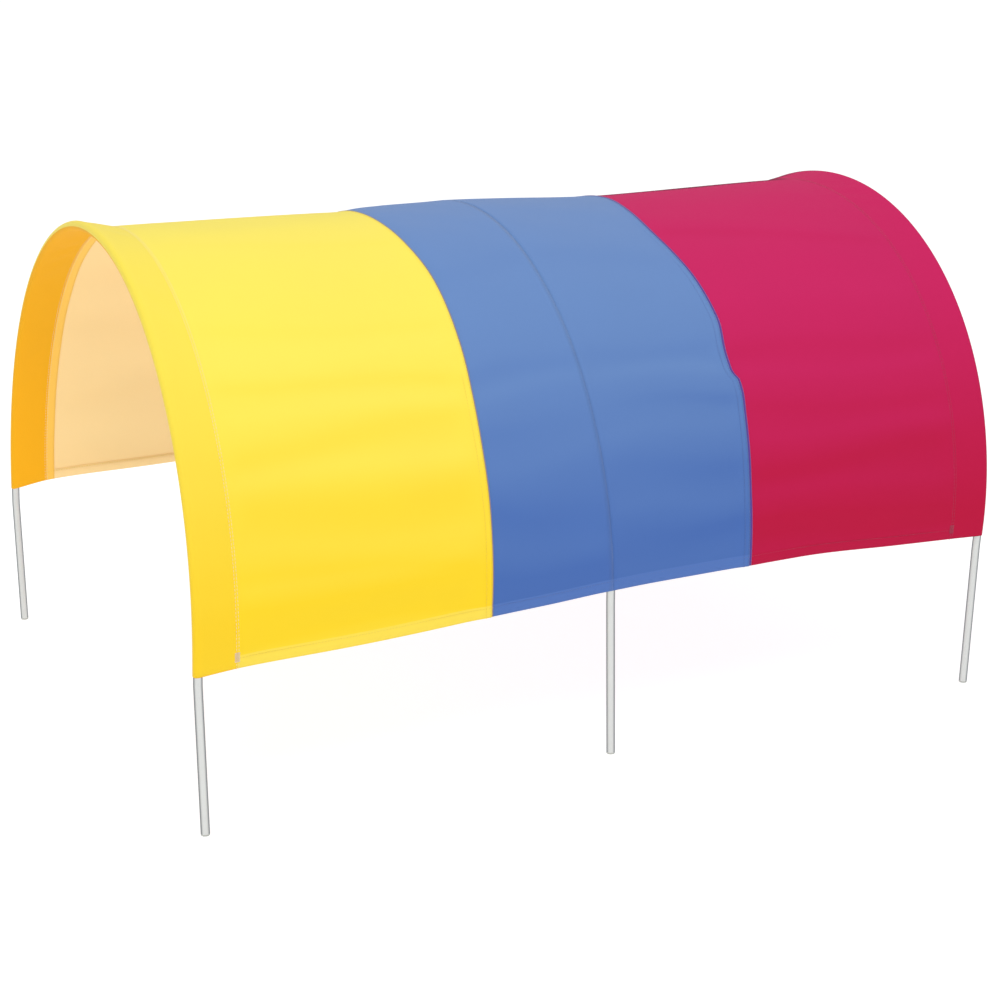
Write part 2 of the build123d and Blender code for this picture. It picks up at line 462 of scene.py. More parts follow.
def hoopColumn(name, d, side, crown, ripple=0.0, inset=0.0):
    # cloth at a fixed distance d along from a hoop, with its ends on the hem line
    shift = [inset, inset]
    x = np.full(rowCount + 1, standing[name]["x"] + d)
    for _ in range(4):
        q = rowPlaces(x, shift)
        angle = np.clip(q / big, 0, math.pi)
        wobble = ripple * np.sin(angle * 41 + 2 * np.sin(angle * 11 + d * 90)) * np.sin(angle)
        y, z, _ = aroundArch(q, crownBlend(side, crown, angle) + wobble)
        line = onHoop(name, d, y, z)
        x = line[:, 0]
        shift[0] += float(hemNear(x[0])) + inset - line[0, 2]
        shift[1] += float(hemFar(x[-1])) + inset - line[-1, 2]
    return line


def seamLine(key, crown):
    table = smoothTable(cover[key])
    x = np.full(rowCount + 1, float(table(0)))
    for _ in range(3):
        q = rowPlaces(x)
        x = table(np.degrees(np.clip(q / big, 0, math.pi))) - cover["lap"]
    y, z, _ = aroundArch(q, crownBlend(cover["seamSide"], crown, np.clip(q / big, 0, math.pi)))
    return np.stack([x, y, z], -1)


# soft bands that run along the tunnel, where the cloth tips out (+) or in (-) as it goes up:
# angle at a panel's first edge, at its last edge, half width, slope, strength at the first edge and at the last
folds = {
    "yellow": [(76.8, 72.1, 1.2, 0.05, 1, 1), (52, 49, 1.6, 0.06, 1, 1), (47, 45, 3.0, -0.07, 1, 1),
               (41.8, 37.9, 1.3, 0.15, 1, 1), (36.4, 34.8, 1.8, -0.13, 0.5, 1.2), (29.0, 32.2, 2.5, 0.17, 1.1, 0.9),
               (25.2, 26.4, 2.4, -0.17, 0.8, 1.1), (20.4, 19.6, 3.2, 0.15, 1, 1), (14.0, 13.0, 2.2, -0.14, 0.6, 1.1),
               (11.2, 7.2, 1.0, 0.10, 0.7, 1), (7.8, 10.5, 1.6, -0.12, 1, 0.7), (4.0, 3.0, 2.2, 0.20, 0.9, 1.1),
               (-1.5, -1.5, 1.6, -0.15, 1, 1), (101, 106, 2.0, 0.06, 1, 1), (112, 110, 2.4, -0.08, 1, 1),
               (124, 127, 2.6, 0.12, 1, 0.8), (133, 132, 2.2, -0.14, 0.8, 1), (140, 143, 2.4, 0.13, 1, 1),
               (148, 149, 2.4, -0.14, 1, 0.8), (157, 154, 2.6, 0.14, 0.8, 1), (165, 163, 2.0, -0.13, 1, 1),
               (172, 174, 2.4, 0.14, 1, 0.9), (179, 180, 1.8, -0.12, 1, 1)],
    "blueLeft": [(60, 63, 3.0, 0.04, 1, 1), (37.8, 40.2, 1.8, 0.09, 1, 0.9), (35.4, 36.5, 1.8, -0.08, 1, 1),
                 (28.6, 28.6, 1.8, 0.09, 1, 0.1), (22, 24, 2.4, -0.07, 1, 1), (15.8, 12.0, 2.6, 0.11, 1.2, 0.2),
                 (9, 7, 2.4, -0.08, 1, 1), (3, 3, 2.0, 0.07, 1, 1), (122, 118, 3.0, 0.07, 1, 1),
                 (131, 128, 2.6, -0.08, 1, 1), (142, 145, 2.6, 0.09, 1, 1), (151, 154, 2.6, -0.10, 1, 1),
                 (163, 161, 2.8, 0.09, 1, 1), (172, 171, 2.2, -0.08, 1, 1)],
    "blueRight": [(63, 60, 3.0, 0.04, 1, 1), (40.2, 39.0, 1.8, 0.08, 0.8, 1.1), (36.5, 35.2, 1.6, -0.10, 0.8, 1.4),
                  (30.6, 29.6, 1.3, 0.17, 0, 1.2), (25, 25.5, 2.2, -0.08, 1, 1), (19.6, 17.8, 2.2, 0.13, 0.3, 1.1),
                  (13, 12.6, 2.2, -0.09, 1, 1), (8.4, 7.4, 1.6, 0.11, 0, 1.2), (3, 2, 2.0, -0.07, 1, 1),
                  (118, 122, 3.0, 0.07, 1, 1), (128, 131, 2.6, -0.08, 1, 1), (145, 141, 2.6, 0.09, 1, 1),
                  (154, 150, 2.6, -0.10, 1, 1), (161, 164, 2.8, 0.09, 1, 1), (171, 173, 2.2, -0.08, 1, 1)],
    "magenta": [(76, 64, 3.0, -0.07, 1, 1), (69, 60, 1.5, 0.10, 1, 0.9), (50, 48, 3.0, -0.05, 1, 1),
                (37.8, 36.4, 2.0, 0.11, 1, 0.8),
                (33.4, 32.0, 1.8, -0.10, 1, 1), (26.8, 25.0, 1.6, 0.11, 1, 0.8), (22.4, 20.6, 1.8, -0.11, 1, 1),
                (16.0, 16.8, 2.3, 0.15, 1, 1), (12.0, 11.0, 1.8, -0.12, 1, 1), (6.4, 4.2, 1.8, 0.14, 1, 1),
                (1.5, 0, 1.6, -0.12, 1, 1), (108, 104, 2.4, 0.07, 1, 1), (117, 115, 2.4, -0.08, 1, 1),
                (129, 131, 2.4, 0.11, 1, 1), (138, 139, 2.2, -0.12, 1, 1), (147, 144, 2.4, 0.13, 1, 1),
                (156, 154, 2.2, -0.12, 1, 1), (163, 166, 2.4, 0.13, 1, 1), (172, 174, 2.0, -0.12, 1, 1)],
}
fineDegrees = np.linspace(-6, 186, 1200)


def foldHeight(name, u, degrees):
    # how far these bands lift the cloth at share u of the panel
    slope = np.zeros_like(fineDegrees)
    for first, last, width, tip, atFirst, atLast in folds[name]:
        strength = cover["bandStrength"] * tip * (atFirst + (atLast - atFirst) * u)
        wander = 0.7 * math.sin(5.1 * u + first)
        away = (fineDegrees - first - (last - first) * u - wander) / width
        slope += strength * np.exp(-(away**2))
    climb = np.cumsum((slope[1:] + slope[:-1]) / 2 * np.diff(fineDegrees))
    height = np.concatenate([[0], climb]) * math.pi / 180 * big
    anchors = [-6, 20, 45, 90, 135, 160, 186]
    height -= np.interp(fineDegrees, anchors, np.interp(anchors, fineDegrees, height))
    ends = min(1, u / 0.10, (1 - u) / 0.10)
    ends *= ends * (3 - 2 * ends)
    # the slope, kept to paint light and shade into the folds' colour
    tone = np.interp(degrees, fineDegrees, slope) * (0.6 + 0.4 * ends) / 0.15
    return np.interp(degrees, fineDegrees, height) * ends, tone


def fineHeight(u, degrees, waves):
    # unevenness smaller than the folds
    height = np.zeros_like(degrees)
    for n, m, a, b, tall in waves:
        height += tall * np.sin(np.radians(degrees) * n + 1.7 * math.sin(m * u + a) + b)
    return height * math.sin(math.pi * u) ** 0.5


def panelGrid(name, first, last, ridge, sides):
    # cloth from one line to another, as columns of rows, and the painted light and shade of its folds, from their
    # slope
    length = float(np.mean(last[:, 0] - first[:, 0]))
    us = np.linspace(0, 1, round(length / cover["columnStep"]) + 1)
    crown = smoothTable(cover[ridge])
    waves = [(9 + 6 * k, 1.3 + 1.1 * k, *rng.uniform(0, 6.28, 2), cover["unevenness"] / (1 + 0.3 * k))
             for k in range(6)]
    columns, tones = [], []
    for u in us:
        x = first[:, 0] + (last[:, 0] - first[:, 0]) * u
        q = rowPlaces(x)
        angle, degrees = np.clip(q / big, 0, math.pi), np.degrees(q / big)
        side = sides[0] + (sides[1] - sides[0]) * u - cover["sag"] * math.sin(math.pi * u)
        lift, tone = foldHeight(name, u, degrees)
        radius = crownBlend(side, float(crown(u)), angle) + lift + fineHeight(u, degrees, waves)
        y, z, _ = aroundArch(q, radius)
        columns.append(np.stack([x, y, z], -1))
        tones.append(tone)
    grid = np.stack(columns, 1)
    fromFirst, fromLast = first - grid[:, 0], last - grid[:, -1]
    for i, u in enumerate(us):  # meet both lines exactly
        grid[:, i] += fromFirst * (1 - u) ** 4 + fromLast * u**4
    return grid, np.stack(tones, 1)


def columnDistances(grid):
    # mean distance of each column from the first, along the cloth
    steps = np.mean(np.linalg.norm(np.diff(grid, axis=1), axis=2), 0)
    return np.concatenate([[0], np.cumsum(steps)])


def strip(panel, fromLast, distances, lift):
    # columns that lie along a panel's surface at these distances from one of its ends
    order = slice(None, None, -1) if fromLast else slice(None)
    grid, n = panel[:, order], gridNormals(panel)[:, order]
    lengths = columnDistances(grid)
    columns = []
    for d in distances:
        i = max(int(np.searchsorted(lengths, d)) - 1, 0)
        t = (d - lengths[i]) / (lengths[i + 1] - lengths[i])
        columns.append((grid[:, i] + n[:, i] * lift) * (1 - t) + (grid[:, i + 1] + n[:, i + 1] * lift) * t)
    return np.stack(columns, 1)


def easeEdge(panel, atLast, lift):
    # the same panel with one edge raised or lowered for the lap
    n = gridNormals(panel)
    order = slice(None, None, -1) if atLast else slice(None)
    grid, n = panel[:, order].copy(), n[:, order]
    lengths = columnDistances(grid)
    for i, d in enumerate(lengths):
        grid[:, i] += n[:, i] * lift * max(0, 1 - (d / cover["ease"]) ** 2)
    return grid[:, order]


def gridNormals(grid):
    n = np.cross(np.gradient(grid, axis=1), np.gradient(grid, axis=0))
    return n / np.maximum(np.linalg.norm(n, axis=2, keepdims=True), 1e-12)


def foldHems(grid):
    # the bottom edges turned up inside, as extra rows at both ends
    gap, fold = cover["underlap"] * 0.75, cover["hemFold"]
    normals = gridNormals(grid)

    def turned(edge, nextRow, n):
        up = nextRow - edge
        up = up / np.linalg.norm(up, axis=1, keepdims=True)
        return [edge - up * 0.0005 - n * gap * 0.5, edge - n * gap,
                edge + up * fold * 0.5 - n * gap * 1.15, edge + up * fold - n * gap]

    near = turned(grid[0], grid[1], normals[0])
    far = turned(grid[-1], grid[-2], normals[-1])
    return np.concatenate([np.stack(near[::-1]), grid, np.stack(far)], 0), len(near)


def sheetObject(name, grid, materials, faceSlots, backSlots, tone=None):
    # a closed sheet from its middle surface; each slot array gives a material to every cell of a side
    rows, cols = grid.shape[:2]
    normals = gridNormals(grid)
    lift, count = normals * cover["thickness"] / 2, rows * cols
    verts = np.concatenate([(grid + lift).reshape(-1, 3), (grid - lift).reshape(-1, 3)])
    index = np.arange(count).reshape(rows, cols)
    face = np.stack([index[:-1, :-1], index[:-1, 1:], index[1:, 1:], index[1:, :-1]], -1).reshape(-1, 4)
    ring = np.concatenate([index[0, :], index[1:, -1], index[-1, -2::-1], index[-2:0:-1, 0]])
    after = np.roll(ring, -1)
    rim = np.stack([ring, ring + count, after + count, after], -1)
    faces = np.concatenate([face, face[:, ::-1] + count, rim])
    mesh = bpy.data.meshes.new(name)
    mesh.from_pydata(verts.tolist(), [], faces.tolist())
    for material in materials:
        mesh.materials.append(material)
    rimSlots = np.full(len(rim), faceSlots[rows // 2, cols // 2])
    slots = np.concatenate([faceSlots.ravel(), backSlots.ravel(), rimSlots])
    mesh.polygons.foreach_set("material_index", slots.astype(np.int32))
    smooth = np.ones(len(faces), bool)
    smooth[-len(rim):] = False  # so that the thin edge doesn't bend the shading of the faces
    mesh.polygons.foreach_set("use_smooth", smooth)
    # the UV map is the cloth laid flat, in metres
    stepsAlong = np.linalg.norm(np.diff(grid, axis=1), axis=2)
    stepsAround = np.linalg.norm(np.diff(grid, axis=0), axis=2)
    along = np.concatenate([np.zeros((rows, 1)), np.cumsum(stepsAlong, 1)], 1)
    around = np.concatenate([np.zeros((1, cols)), np.cumsum(stepsAround, 0)], 0)
    flat = np.stack([along, around], -1).reshape(-1, 2)
    loops = np.zeros(len(mesh.loops), np.int32)
    mesh.loops.foreach_get("vertex_index", loops)
    layer = mesh.uv_layers.new(name="cloth")
    layer.data.foreach_set("uv", np.concatenate([flat, flat])[loops].astype(np.float32).ravel())
    # painted light and shade of the folds, carried to the cloth's material
    tones = np.zeros(count) if tone is None else tone.ravel()
    foldShade = mesh.attributes.new("tone", "FLOAT", "POINT")
    foldShade.data.foreach_set("value", np.tile(tones, 2).astype(np.float32))
    mesh.update()
    obj = bpy.data.objects.new(name, mesh)
    scene.collection.objects.link(obj)
    return obj, (float(along.max()), float(around.max()))


sleeve = {
    "flatColumns": 8,  # from the stitch line to the tube, on each side
    "turnColumns": 12,
    "turnAngle": 84,
    "tabPlaces": (0.35, 0.7, 1.0),
    "outerRipple": 0.0004,
    "innerRipple": 0.0007,
}


def sleeveGrid(name, inwards, panel):
    # one end of the cloth, turned back round the tube: from the stitch line outside, over, under, to the tab inside
    reach, over, under = cover["stitchReach"], cover["overTube"], cover["underlap"]
    side, crown = cover["stitchSide"], cover["crown"][name]
    top, low = big + over, big - over
    columns = []
    for d in np.linspace(reach, 0.002, sleeve["flatColumns"]):
        w, ripple = (d / reach) ** 0.85, sleeve["outerRipple"] * math.sin(math.pi * d / reach)
        columns.append(hoopColumn(name, inwards * d, top + (side - top) * w, top + (crown - top) * w, ripple))
    for a in np.radians(np.linspace(sleeve["turnAngle"], -sleeve["turnAngle"], sleeve["turnColumns"])):
        r = big + over * math.sin(a)
        columns.append(hoopColumn(name, -inwards * over * math.cos(a), r, r))
    for d in np.linspace(0.002, reach, sleeve["flatColumns"]):
        w, ripple = (d / reach) ** 1.1, sleeve["innerRipple"] * math.sin(math.pi * d / reach)
        columns.append(hoopColumn(name, inwards * d, low + (side - under - low) * w, low + (crown - under - low) * w,
                                  ripple))
    tab = strip(panel, inwards < 0, [cover["tab"] * share for share in sleeve["tabPlaces"]], -under)
    return np.concatenate([np.stack(columns, 1), tab], 1)


cover["crown"] = {"yellow": cover["yellowRidge"][0][1], "magenta": cover["magentaRidge"][-1][1]}
middleTop = big + cover["overTube"]
middleLine = hoopColumn("middle", 0.0, middleTop, middleTop)
yellowSeam = seamLine("yellowSeam", cover["yellowRidge"][-1][1])
magentaSeam = seamLine("magentaSeam", cover["magentaRidge"][0][1])
yellowStitch = hoopColumn("yellow", cover["stitchReach"], cover["stitchSide"], cover["crown"]["yellow"])
magentaStitch = hoopColumn("magenta", -cover["stitchReach"], cover["stitchSide"], cover["crown"]["magenta"])
seamSide, stitchSide, halfGap = cover["seamSide"], cover["stitchSide"], cover["underlap"] / 2

yellowPanel, yellowTone = panelGrid("yellow", yellowStitch, yellowSeam, "yellowRidge", (stitchSide, seamSide))
leftPanel, leftTone = panelGrid("blueLeft", yellowSeam, middleLine, "blueLeftRidge", (seamSide, middleTop))
rightPanel, rightTone = panelGrid("blueRight", middleLine, magentaSeam, "blueRightRidge", (middleTop, seamSide))
magentaPanel, magentaTone = panelGrid("magenta", magentaSeam, magentaStitch, "magentaRidge", (seamSide, stitchSide))
yellowSleeve = sleeveGrid("yellow", 1, yellowPanel)  # columns run from the stitch line out, round the tube and back in
magentaSleeve = sleeveGrid("magenta", -1, magentaPanel)
# yellow laps over blue, and blue over magenta
lapPlaces, underEdge = (cover["lap"] / 2, cover["lap"]), cover["underEdge"]
yellowLap = strip(leftPanel, False, lapPlaces, halfGap)
blueUnder = strip(yellowPanel, True, underEdge, -halfGap)
blueLap = strip(magentaPanel, False, lapPlaces, halfGap)
magentaUnder = strip(rightPanel, True, underEdge, -halfGap)
grids = {
    "yellow": np.concatenate([yellowSleeve[:, :0:-1], easeEdge(yellowPanel, True, halfGap), yellowLap], 1),
    "blueLeft": np.concatenate([blueUnder, easeEdge(leftPanel, False, -halfGap)], 1),
    "blueRight": np.concatenate([easeEdge(rightPanel, True, halfGap), blueLap], 1),
    "magenta": np.concatenate([magentaUnder, easeEdge(magentaPanel, False, -halfGap), magentaSleeve[:, 1:]], 1),
}
grids["blueLeft"][:, -1, 0] += 0.0003  # the two halves of the blue cloth just meet


def spread(tone, before, after):
    # the tone of a panel's first and last columns carried on over the columns beside it
    return np.concatenate([np.repeat(tone[:, :1], before, 1), tone, np.repeat(tone[:, -1:], after, 1)], 1)


sleeveColumns = yellowSleeve.shape[1] - 1
tabColumns = len(sleeve["tabPlaces"])
foldColumn = tabColumns + sleeve["flatColumns"] + (sleeve["turnColumns"] - 1) // 2  # last one that faces inwards
tones = {
    "yellow": spread(yellowTone, sleeveColumns, 2),
    "blueLeft": spread(leftTone, 2, 0),
    "blueRight": spread(rightTone, 0, 2),
    "magenta": spread(magentaTone, 2, sleeveColumns),
}
tones["yellow"][:, :sleeveColumns] *= 0.25  # a sleeve is drawn tight, so it hardly folds and gets little painted fold shade
tones["magenta"][:, -sleeveColumns:] *= 0.25
print("cloth shaped")

# each bay's two hoops, and the stretch between them that neither hoop's sleeve or pocket takes
pocketLow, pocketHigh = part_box("blue_pole_pocket")
bays = {
    "yellow": {"bodies": ("yellow_hoop", "middle_hoop"),
               "ends": (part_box("yellow_pole_sleeve")[1][0] + 0.001, pocketLow[0] - 0.001)},
    "magenta": {"bodies": ("middle_hoop", "magenta_hoop"),
                "ends": (pocketHigh[0] + 0.001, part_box("magenta_pole_sleeve")[0][0] - 0.001)},
}


def attach(obj, place):
    # place is a hoop's body, which the piece is parented to, or a bay, whose pieces keep their place with the
    # transform baked in
    if place in bays:
        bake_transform(obj)
    else:
        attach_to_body(obj, place)


def addCloth(name, key, materialNames, bay, nodes, sleeveAt=None):
    # materials: face, back, hem on the face side, doubled sleeve, inside of a sleeve, tab
    full, hemRows = foldHems(grids[key])
    tone = np.concatenate([np.repeat(tones[key][:1], hemRows, 0), tones[key], np.repeat(tones[key][-1:], hemRows, 0)])
    rows, cols = full.shape[0] - 1, full.shape[1] - 1
    face, back = np.zeros((rows, cols), int), np.ones((rows, cols), int)
    face[:hemRows], face[-hemRows:] = 1, 1
    # a lighter band just above the bottom edge: painted light
    face[hemRows - 1: hemRows + 2], face[-hemRows - 2: -hemRows + 1] = 2, 2
    if sleeveAt:
        part = face if sleeveAt == "first" else face[:, ::-1]  # columns from the tab round to the panel
        part[:, :tabColumns] = 5
        part[:, tabColumns:foldColumn] = 4
        part[hemRows - 1: -hemRows + 1, foldColumn:sleeveColumns] = 3
        part[:hemRows, tabColumns:sleeveColumns] = 4
        part[-hemRows:, tabColumns:sleeveColumns] = 4
    obj, flat = sheetObject(name, full, [cloths[n] for n in materialNames], face, back, tone)
    attach(obj, bay)
    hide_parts(*nodes)
    return flat


cuts = {
    "yellow": addCloth(
        "yellowCover", "yellow",
        ["yellowCloth", "peachBack", "yellowHem", "yellowDouble", "yellowInside", "amberEdge"],
        "yellow", ["yellow_panel", "yellow_pole_sleeve"], "first"),
    "blueLeft": addCloth(
        "blueCoverLeft", "blueLeft", ["blueCloth", "blueBack", "blueHem"],
        "yellow", ["blue_panel"]),
    "blueRight": addCloth(
        "blueCoverRight", "blueRight", ["blueCloth", "blueBack", "blueHem"],
        "magenta", ["blue_panel"]),
    "magenta": addCloth(
        "magentaCover", "magenta",
        ["magentaCloth", "roseBack", "magentaHem", "magentaDouble", "magentaInside", "roseBack"],
        "magenta", ["magenta_panel", "magenta_pole_sleeve"], "last"),
}
print("cover sewn:", {k: tuple(round(v, 3) for v in cut) for k, cut in cuts.items()})


pocket = {
    "half": 0.016,  # half its width
    "seam": 0.007,  # each sewn edge
    "inset": 0.004,  # its ends above the cover's bottom edge
    "hangs": 0.0062,  # half of the stretch that hangs under the tube
    "ripple": 0.0004,
}


def pocketGrid(s):
    # a strip that hangs under the tube, sewn flat to the blue cloth along both edges
    half, flatTo, low = s["half"], s["half"] - s["seam"], big - cover["overTube"]
    sewn = (half, half - s["seam"] / 2, flatTo)
    left = strip(leftPanel, True, sewn, -cover["underlap"])
    right = strip(rightPanel, False, sewn[::-1], -cover["underlap"])
    columns = []
    for d in np.linspace(-s["hangs"], s["hangs"], 9):
        r = low + (middleTop - low) * (abs(d) / flatTo) ** 2.2
        columns.append(hoopColumn("middle", d, r, r, s["ripple"]))
    grid = np.concatenate([left, np.stack(columns, 1), right], 1)
    inset = int(s["inset"] / cover["rowStep"]) + 1
    return grid[inset:-inset]


pocketShape, _ = foldHems(pocketGrid(pocket))
pocketCells = np.zeros((pocketShape.shape[0] - 1, pocketShape.shape[1] - 1), int)
pocketStrip, pocketCut = sheetObject("bluePocket", pocketShape, [cloths["blueInside"], cloths["blueBack"]],
                                     pocketCells + 1, pocketCells)
attach(pocketStrip, "middle_hoop")
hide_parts("blue_pole_pocket")


def makeStitchTree():
    # a short rounded stitch at each step of the path, lying along it and turned a little at random
    tree = bpy.data.node_groups.new("stitchRun", "GeometryNodeTree")
    tree.interface.new_socket("Geometry", in_out="INPUT", socket_type="NodeSocketGeometry")
    for label, value in (("Pitch", 0.0034), ("Length", 0.0026), ("Thickness", 0.0005), ("Slant", 0.12)):
        tree.interface.new_socket(label, in_out="INPUT", socket_type="NodeSocketFloat").default_value = value
    tree.interface.new_socket("Thread", in_out="INPUT", socket_type="NodeSocketMaterial")
    tree.interface.new_socket("Geometry", in_out="OUTPUT", socket_type="NodeSocketGeometry")
    ins, outs = tree.nodes.new("NodeGroupInput").outputs, tree.nodes.new("NodeGroupOutput")
    path = addNode(tree, "GeometryNodeMeshToCurve")
    steps = addNode(tree, "GeometryNodeResampleCurve", mode="LENGTH")
    tangent = addNode(tree, "GeometryNodeInputTangent")
    turn = addNode(tree, "FunctionNodeAlignRotationToVector", axis="Z")
    low = addNode(tree, "ShaderNodeMath", operation="MULTIPLY")
    low.inputs[1].default_value = -1
    slant = addNode(tree, "FunctionNodeRandomValue", data_type="FLOAT")
    slant.inputs["Seed"].default_value = 3
    angles = addNode(tree, "ShaderNodeCombineXYZ")
    rotation = addNode(tree, "FunctionNodeEulerToRotation")
    tilt = addNode(tree, "FunctionNodeRotateRotation", rotation_space="LOCAL")
    ball = addNode(tree, "GeometryNodeMeshUVSphere")
    for label, value in (("Segments", 6), ("Rings", 4), ("Radius", 0.5)):
        ball.inputs[label].default_value = value
    size = addNode(tree, "ShaderNodeCombineXYZ")
    scaled = addNode(tree, "GeometryNodeTransform")
    copies = addNode(tree, "GeometryNodeInstanceOnPoints")
    real = addNode(tree, "GeometryNodeRealizeInstances")
    paint = addNode(tree, "GeometryNodeSetMaterial")
    for source, node, socket in (
        (ins["Geometry"], path, "Mesh"), (path.outputs["Curve"], steps, "Curve"), (ins["Pitch"], steps, "Length"),
        (tangent.outputs["Tangent"], turn, "Vector"),
        (ins["Slant"], low, 0), (low.outputs[0], slant, 2), (ins["Slant"], slant, 3),
        (slant.outputs[1], angles, "X"), (slant.outputs[1], angles, "Y"), (angles.outputs[0], rotation, "Euler"),
        (turn.outputs["Rotation"], tilt, "Rotation"), (rotation.outputs["Rotation"], tilt, "Rotate By"),
        (ins["Thickness"], size, "X"), (ins["Thickness"], size, "Y"), (ins["Length"], size, "Z"),
        (ball.outputs["Mesh"], scaled, "Geometry"), (size.outputs[0], scaled, "Scale"),
        (steps.outputs["Curve"], copies, "Points"), (scaled.outputs["Geometry"], copies, "Instance"),
        (tilt.outputs["Rotation"], copies, "Rotation"), (copies.outputs["Instances"], real, "Geometry"),
        (real.outputs["Geometry"], paint, "Geometry"), (ins["Thread"], paint, "Material"),
        (paint.outputs["Geometry"], outs, "Geometry"),
    ):
        tree.links.new(source, node.inputs[socket])
    return tree


stitchTree = makeStitchTree()


sewing = {
    "run": {"Pitch": 0.0036, "Length": 0.0029, "Thickness": 0.00055, "Slant": 0.10},
    "fine": {"Pitch": 0.0032, "Length": 0.0025, "Thickness": 0.00045, "Slant": 0.10},
    "tack": {"Pitch": 0.0013, "Length": 0.0016, "Thickness": 0.0006, "Slant": 0.05},
    "hemHeight": 0.0095,  # of the hem's stitch line above the bottom edge
    "sleeveRows": (-0.0008, 0.0016),  # the two stitch lines of a sleeve, along the tunnel
    "seamRows": (-0.0016, -0.0068),  # and of a lapped seam, from its edge
    "proud": 0.0003,  # middle of a stitch from the middle of the cloth
    "doubled": 0.0009,  # more than that where it comes out of a second layer
    "tackBars": 14,
    "tackStart": 0.006,  # above the bottom edge
    "tackStep": 0.0007,
    "tackHalf": 0.0020,
}


def alongCloth(grid, column):
    # unit vectors along the tunnel at each row of a column
    side = np.gradient(grid, axis=1)[:, column]
    return side / np.linalg.norm(side, axis=1, keepdims=True)


def stitchRuns(name, runs, thread, settings, place):
    # runs are polylines; each becomes a row of short raised stitches
    mesh = bpy.data.meshes.new(name + "Path")
    verts, edges = [], []
    for run in runs:
        base = len(verts)
        verts += [tuple(p) for p in run]
        edges += [(base + i, base + i + 1) for i in range(len(run) - 1)]
    mesh.from_pydata(verts, edges, [])
    obj = bpy.data.objects.new(name, mesh)
    scene.collection.objects.link(obj)
    modifier = obj.modifiers.new("stitches", "NODES")
    modifier.node_group = stitchTree
    sockets = {s.name: s.identifier for s in stitchTree.interface.items_tree if s.in_out == "INPUT"}
    for key, value in settings.items():
        modifier[sockets[key]] = value
    modifier[sockets["Thread"]] = threads[thread]
    evaluated = obj.evaluated_get(bpy.context.evaluated_depsgraph_get())
    plain = bpy.data.meshes.new_from_object(evaluated)
    obj.modifiers.remove(modifier)
    obj.data = plain
    plain.polygons.foreach_set("use_smooth", np.ones(len(plain.polygons), bool))
    attach(obj, place)


def columnRun(grid, normals, column, shift, lift):
    # a line round the arch at a column, moved along the cloth by shift
    return grid[:, column] + alongCloth(grid, column) * shift + normals[:, column] * lift


def hemRun(grid, normals, near, lift, columns):
    # a line along the tunnel, at the hem's stitch height
    edge, inner = (grid[0], grid[3]) if near else (grid[-1], grid[-4])
    n = normals[1] if near else normals[-2]
    up = inner - edge
    up = up / np.linalg.norm(up, axis=1, keepdims=True)
    return (edge + up * sewing["hemHeight"] + n * lift)[columns]


normal = {key: gridNormals(grid) for key, grid in grids.items()}
out = sewing["proud"]


def hemStitches(key, thread, bay, slotName, columns=slice(None)):
    runs = [hemRun(grids[key], normal[key], near, lift, columns)
            for near in (True, False) for lift in (out, -out - sewing["doubled"])]
    stitchRuns(key + "HemStitches", runs, thread, sewing["fine"], bay)


hemStitches("yellow", "yellowThread", "yellow", "cloth_yellow", slice(sleeveColumns, None))
hemStitches("blueLeft", "blueThread", "yellow", "cloth_blue")
hemStitches("blueRight", "blueThread", "magenta", "cloth_blue")
hemStitches("magenta", "magentaThread", "magenta", "cloth_magenta", slice(0, -sleeveColumns))


def sleeveStitches(key, columns, thread, body):
    # two rows round the arch, at the stitch line outside and at the tab inside
    runs = [columnRun(grids[key], normal[key], column, shift, out)
            for column in columns for shift in sewing["sleeveRows"]]
    stitchRuns(key + "SleeveStitches", runs, thread, sewing["run"], body)


last = grids["magenta"].shape[1] - 1
sleeveStitches("yellow", (sleeveColumns, tabColumns), "paleThread", "yellow_hoop")
sleeveStitches("magenta", (last - sleeveColumns, last - tabColumns), "magentaThread", "magenta_hoop")


def seamStitches(name, key, thread, bay):
    # two rows along the lapped edge, seen outside and inside
    grid = grids[key]
    runs = [columnRun(grid, normal[key], grid.shape[1] - 1, shift, lift)
            for lift in (out, -out - 0.0010) for shift in sewing["seamRows"]]
    stitchRuns(name, runs, thread, sewing["fine"], bay)


seamStitches("yellowSeamStitches", "yellow", "yellowThread", "yellow")
seamStitches("magentaSeamStitches", "blueRight", "blueThread", "magenta")


binding = {
    "yellowSeamEdge": {"width": 0.0012, "proud": 0.0005, "thread": "greyThread"},
    "magentaSeamEdge": {"width": 0.0026, "proud": 0.0007, "thread": "violetThread"},
    # section across the seam, in shares of its width and of how proud it stands
    "section": [(-0.5, -0.6), (-0.5, 0.1), (-0.25, 0.8), (0.0, 1.0), (0.25, 0.8), (0.5, 0.1), (0.5, -0.6)],
}


def bindingStrip(name, key, bay):
    # a narrow rounded cord along a seam's lapped edge
    grid, s = grids[key], binding[name]
    side, n = alongCloth(grid, -1), normal[key][:, -1]
    centre = grid[:, -1] + side * s["width"] * 0.5
    rings = np.stack([centre + side * a * s["width"] + n * b * s["proud"] for a, b in binding["section"]], 1)
    rows, cols = rings.shape[:2]
    index = np.arange(rows * cols).reshape(rows, cols)
    after = np.roll(index, -1, axis=1)
    faces = np.stack([index[:-1], after[:-1], after[1:], index[1:]], -1).reshape(-1, 4).tolist()
    faces += [index[0][::-1].tolist(), index[-1].tolist()]
    mesh = bpy.data.meshes.new(name)
    mesh.from_pydata(rings.reshape(-1, 3).tolist(), [], faces)
    mesh.materials.append(threads[s["thread"]])
    mesh.polygons.foreach_set("use_smooth", np.ones(len(faces), bool))
    obj = bpy.data.objects.new(name, mesh)
    scene.collection.objects.link(obj)
    attach(obj, bay)


bindingStrip("yellowSeamEdge", "yellow", "yellow")
bindingStrip("magentaSeamEdge", "blueRight", "magenta")


